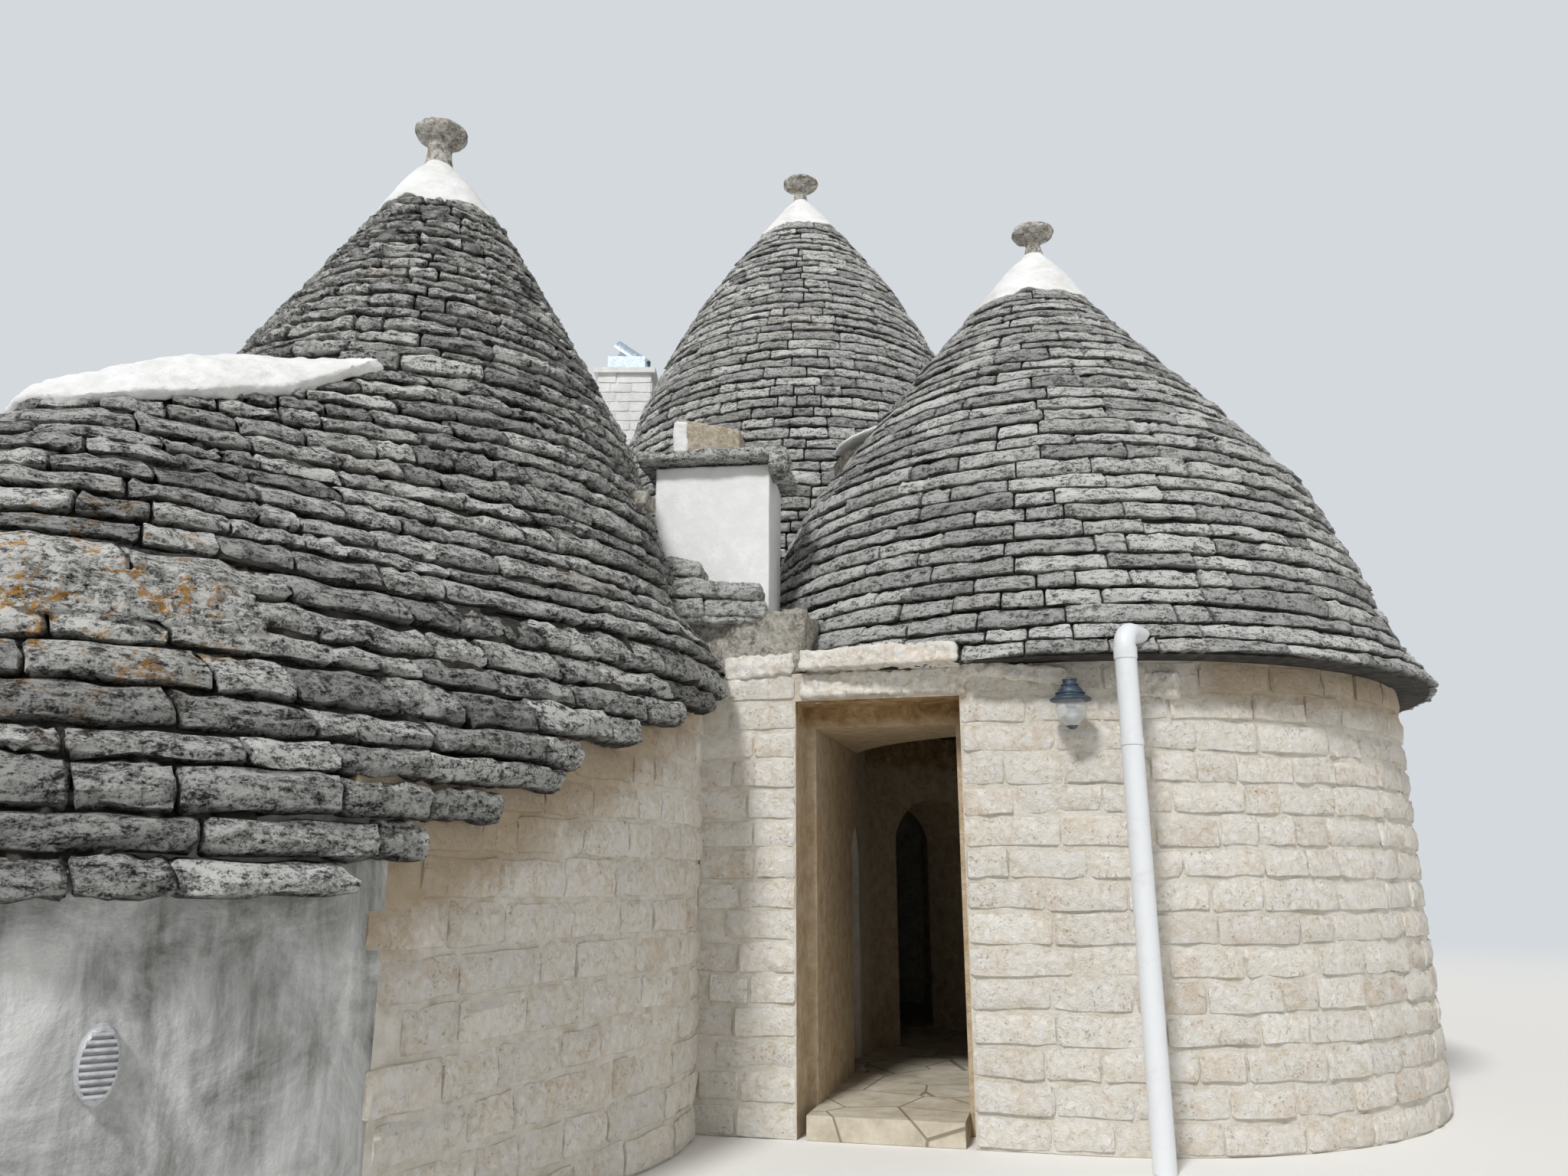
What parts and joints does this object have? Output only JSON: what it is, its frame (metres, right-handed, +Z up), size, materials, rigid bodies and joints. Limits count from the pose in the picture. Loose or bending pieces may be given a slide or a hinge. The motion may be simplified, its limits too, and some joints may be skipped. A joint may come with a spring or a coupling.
{
  "type": "trullo house",
  "caption": "Dry-stone house with conical corbelled roofs, whitewashed tips, carved finials, thick limestone walls, a doorway and white chimneys.",
  "frame": {"origin": "on the ground under the front cone's axis", "axes": "+Z up, +Y away from the doorway side, +X to the right seen from the doorway side"},
  "size_m": [9.206, 10.7499, 8.985],
  "materials": {
    "stone_floor": "worn",
    "limestone_wall": "rough hewn",
    "roof_stone": "weathered with lichen",
    "whitewash": "lime washed",
    "pinnacle_stone": "weathered",
    "galvanised_sheet": "galvanised",
    "white_plastic": "satin",
    "dark_metal": "satin",
    "lamp_glass": "clear",
    "grey_metal": "satin"
  },
  "bodies": {
    "root": {"floor_front_room": "stone_floor", "floor_rear_room": "stone_floor", "floor_left_room": "stone_floor", "threshold": "stone_floor", "wall_door_left": "limestone_wall", "wall_door_right": "limestone_wall", "doorway_lintel": "limestone_wall", "wall_front_right": "limestone_wall", "wall_front_back": "limestone_wall", "wall_front_left": "limestone_wall", "arch_rear_room": "limestone_wall", "passage_back": "limestone_wall", "passage_vault": "limestone_wall", "wall_left_corner": "limestone_wall", "wall_left_back": "limestone_wall", "wall_left_east": "limestone_wall", "wall_left_west": "limestone_wall", "wall_lobe_front": "limestone_wall", "wall_rear_right": "limestone_wall", "wall_rear_back": "limestone_wall", "wall_rear_left": "limestone_wall", "valley_wall": "limestone_wall", "roof_front": "roof_stone", "roof_rear": "roof_stone", "roof_left": "roof_stone", "roof_lobe": "roof_stone", "valley_fill": "roof_stone", "valley_slabs": "roof_stone", "chimney_slab": "roof_stone", "ridge_whitewash": "whitewash", "valley_whitewash": "whitewash", "cap_front": "whitewash", "cap_rear": "whitewash", "cap_left": "whitewash", "chimney_shaft": "whitewash", "flue_shaft": "whitewash", "flue_slab": "whitewash", "pinnacle_front": "pinnacle_stone", "pinnacle_rear": "pinnacle_stone", "pinnacle_left": "pinnacle_stone", "chimney_block": "pinnacle_stone", "flue_cowl": "galvanised_sheet", "vent_pipe": "white_plastic", "lantern_body": "dark_metal", "lantern_glass": "lamp_glass", "bulkhead_light": "grey_metal"}
  },
  "joints": []
}
